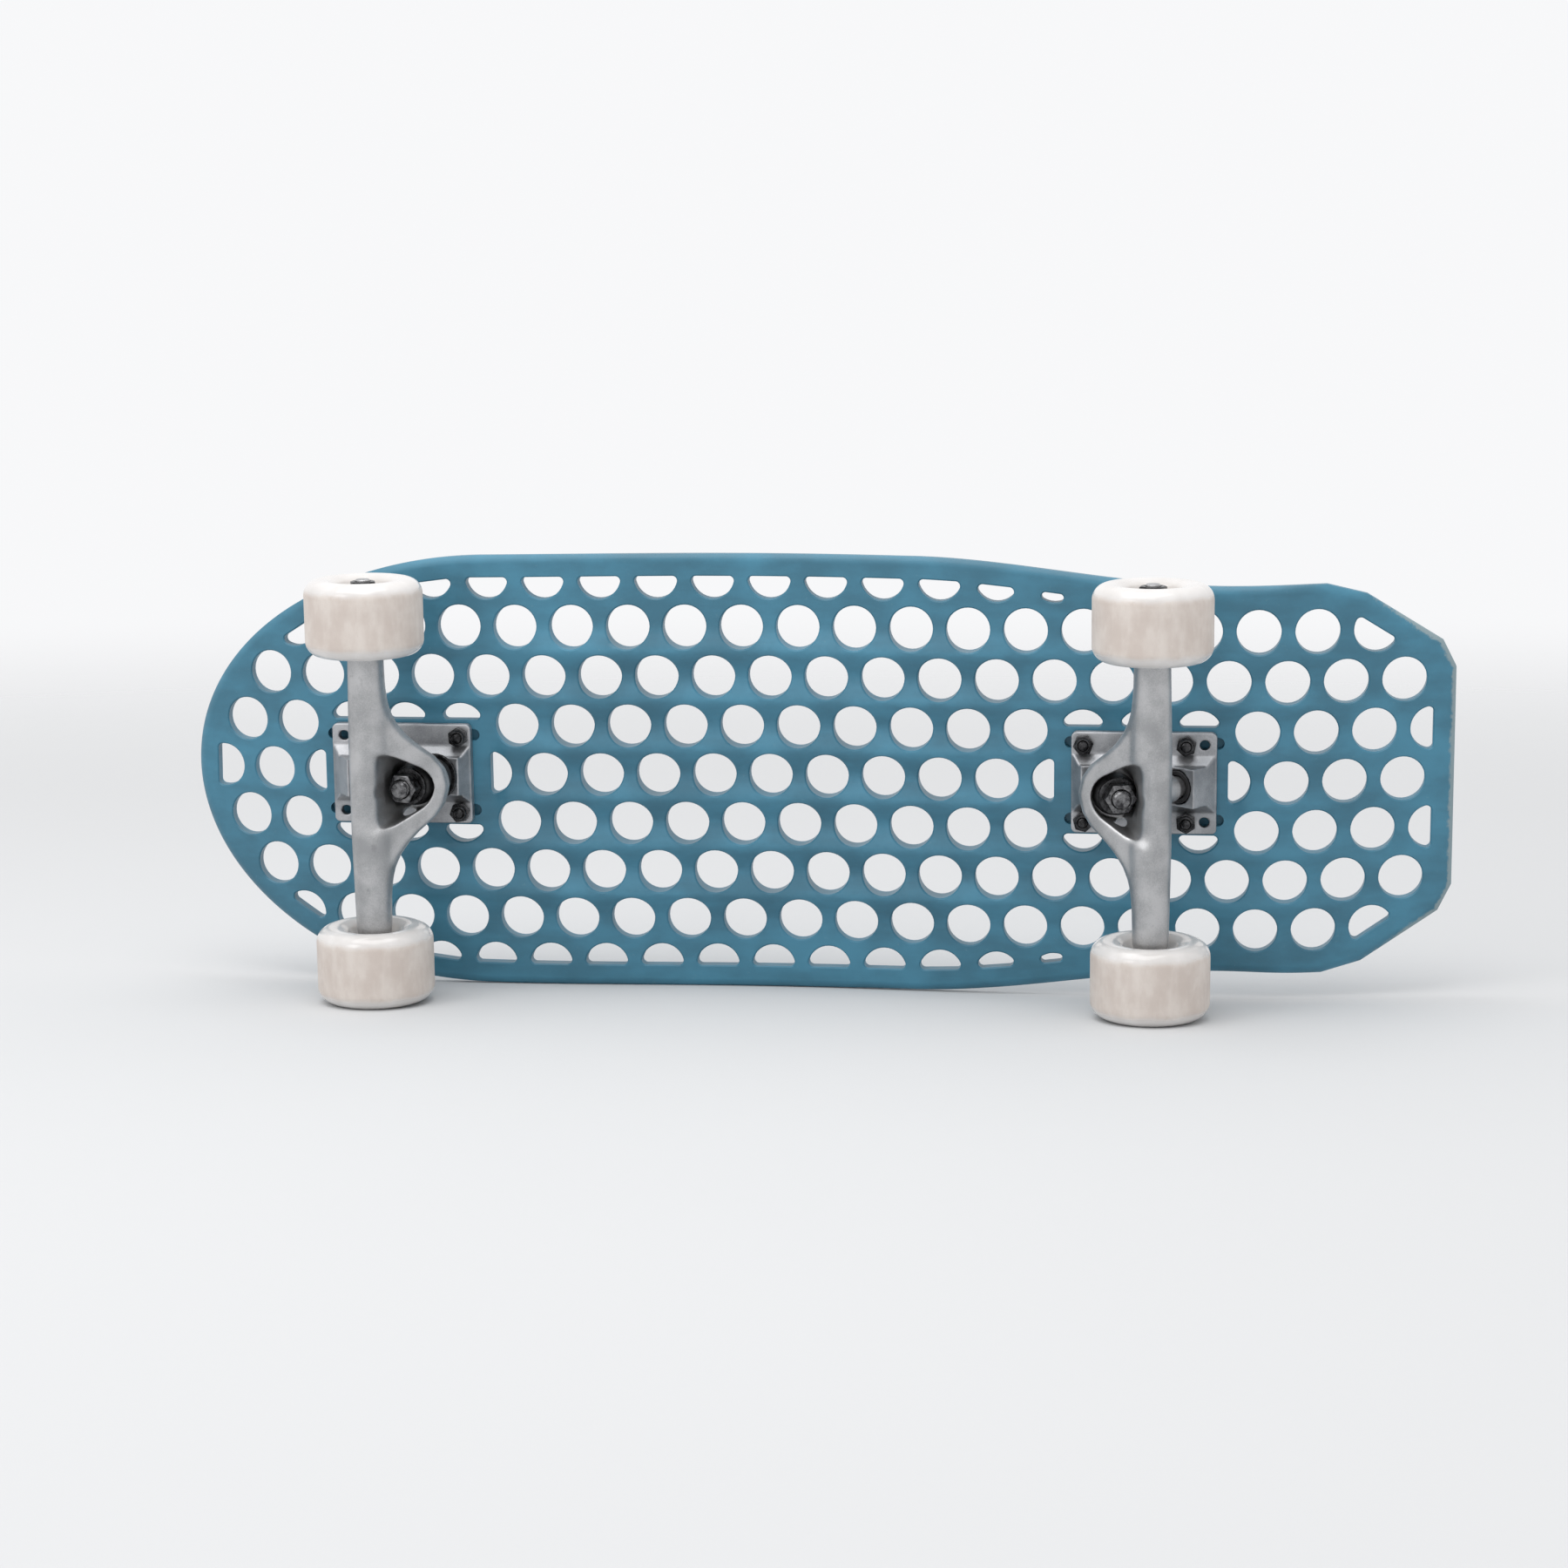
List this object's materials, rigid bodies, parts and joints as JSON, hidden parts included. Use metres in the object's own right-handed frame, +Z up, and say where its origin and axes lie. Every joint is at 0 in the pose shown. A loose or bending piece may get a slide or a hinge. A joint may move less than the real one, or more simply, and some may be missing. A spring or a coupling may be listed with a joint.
{
  "type": "skateboard",
  "caption": "Skateboard with a perforated moulded deck, round nose, square kicked tail, steering kingpin trucks and free-rolling wheels, stored on its long edge.",
  "frame": {"origin": "middle of the space the board fills, on the floor it stands on", "axes": "+X from the round nose to the square tail, +Z up across the deck's width, -Y out of the underside that carries the trucks; the board stands on one long edge and leans a few degrees onto its lower wheels"},
  "size_m": [0.6828, 0.13, 0.2371],
  "materials": {
    "blue_plastic": "moulded, faintly mottled, half gloss",
    "cast_aluminium": "sand-cast, grainy",
    "steel": "plain, slightly dulled",
    "black_steel": "black oxide",
    "black_urethane": "smooth, soft",
    "white_urethane": "smooth, its tread scuffed and dirty"
  },
  "bodies": {
    "board": {"deck": "blue_plastic", "nose_baseplate": "cast_aluminium", "nose_pivot_cup": "black_urethane", "nose_kingpin": "steel", "nose_washer_board_side": "black_steel", "nose_bushing_board_side": "black_urethane", "nose_bushing_road_side": "black_urethane", "nose_washer_road_side": "black_steel", "nose_kingpin_nut": "steel", "nose_bolt_1": "black_steel", "nose_bolt_2": "black_steel", "nose_bolt_3": "black_steel", "nose_bolt_4": "black_steel", "nose_lock_nut_1": "black_steel", "nose_lock_nut_2": "black_steel", "nose_lock_nut_3": "black_steel", "nose_lock_nut_4": "black_steel", "tail_baseplate": "cast_aluminium", "tail_pivot_cup": "black_urethane", "tail_kingpin": "steel", "tail_washer_board_side": "black_steel", "tail_bushing_board_side": "black_urethane", "tail_bushing_road_side": "black_urethane", "tail_washer_road_side": "black_steel", "tail_kingpin_nut": "steel", "tail_bolt_1": "black_steel", "tail_bolt_2": "black_steel", "tail_bolt_3": "black_steel", "tail_bolt_4": "black_steel", "tail_lock_nut_1": "black_steel", "tail_lock_nut_2": "black_steel", "tail_lock_nut_3": "black_steel", "tail_lock_nut_4": "black_steel"},
    "nose_hanger_body": {"nose_hanger": "cast_aluminium", "nose_axle": "steel", "nose_upper_bearing_spacer": "steel", "nose_upper_axle_nut": "black_steel", "nose_lower_bearing_spacer": "steel", "nose_lower_axle_nut": "black_steel"},
    "nose_upper_wheel_body": {"nose_upper_wheel": "white_urethane", "nose_upper_bearing_outer": "steel", "nose_upper_bearing_inner": "steel"},
    "nose_lower_wheel_body": {"nose_lower_wheel": "white_urethane", "nose_lower_bearing_outer": "steel", "nose_lower_bearing_inner": "steel"},
    "tail_hanger_body": {"tail_hanger": "cast_aluminium", "tail_axle": "steel", "tail_upper_bearing_spacer": "steel", "tail_upper_axle_nut": "black_steel", "tail_lower_bearing_spacer": "steel", "tail_lower_axle_nut": "black_steel"},
    "tail_upper_wheel_body": {"tail_upper_wheel": "white_urethane", "tail_upper_bearing_outer": "steel", "tail_upper_bearing_inner": "steel"},
    "tail_lower_wheel_body": {"tail_lower_wheel": "white_urethane", "tail_lower_bearing_outer": "steel", "tail_lower_bearing_inner": "steel"}
  },
  "joints": [
    {"name": "nose_steer", "type": "hinge", "parent": "board", "child": "nose_hanger_body", "pos_m": [-0.23997, 0.01472, 0.11694], "axis": [0.9169, -0.3981, -0.0263], "range_deg": [-10, 10], "stiffness_Nm_per_rad": 40, "deforming": ["nose_bushing_board_side", "nose_bushing_road_side"]},
    {"name": "nose_upper_wheel_spin", "type": "hinge", "parent": "nose_hanger_body", "child": "nose_upper_wheel_body", "pos_m": [-0.22647, -0.03331, 0.20687], "axis": [0, -0.0659, 0.9978], "continuous": true},
    {"name": "nose_lower_wheel_spin", "type": "hinge", "parent": "nose_hanger_body", "child": "nose_lower_wheel_body", "pos_m": [-0.22647, -0.02107, 0.02147], "axis": [0, -0.0659, 0.9978], "continuous": true},
    {"name": "tail_steer", "type": "hinge", "parent": "board", "child": "tail_hanger_body", "pos_m": [0.19787, 0.01472, 0.11694], "axis": [-0.9169, -0.3981, -0.0263], "range_deg": [-10, 10], "stiffness_Nm_per_rad": 40, "deforming": ["tail_bushing_board_side", "tail_bushing_road_side"]},
    {"name": "tail_upper_wheel_spin", "type": "hinge", "parent": "tail_hanger_body", "child": "tail_upper_wheel_body", "pos_m": [0.18437, -0.03331, 0.20687], "axis": [0, -0.0659, 0.9978], "continuous": true},
    {"name": "tail_lower_wheel_spin", "type": "hinge", "parent": "tail_hanger_body", "child": "tail_lower_wheel_body", "pos_m": [0.18437, -0.02107, 0.02147], "axis": [0, -0.0659, 0.9978], "continuous": true}
  ]
}
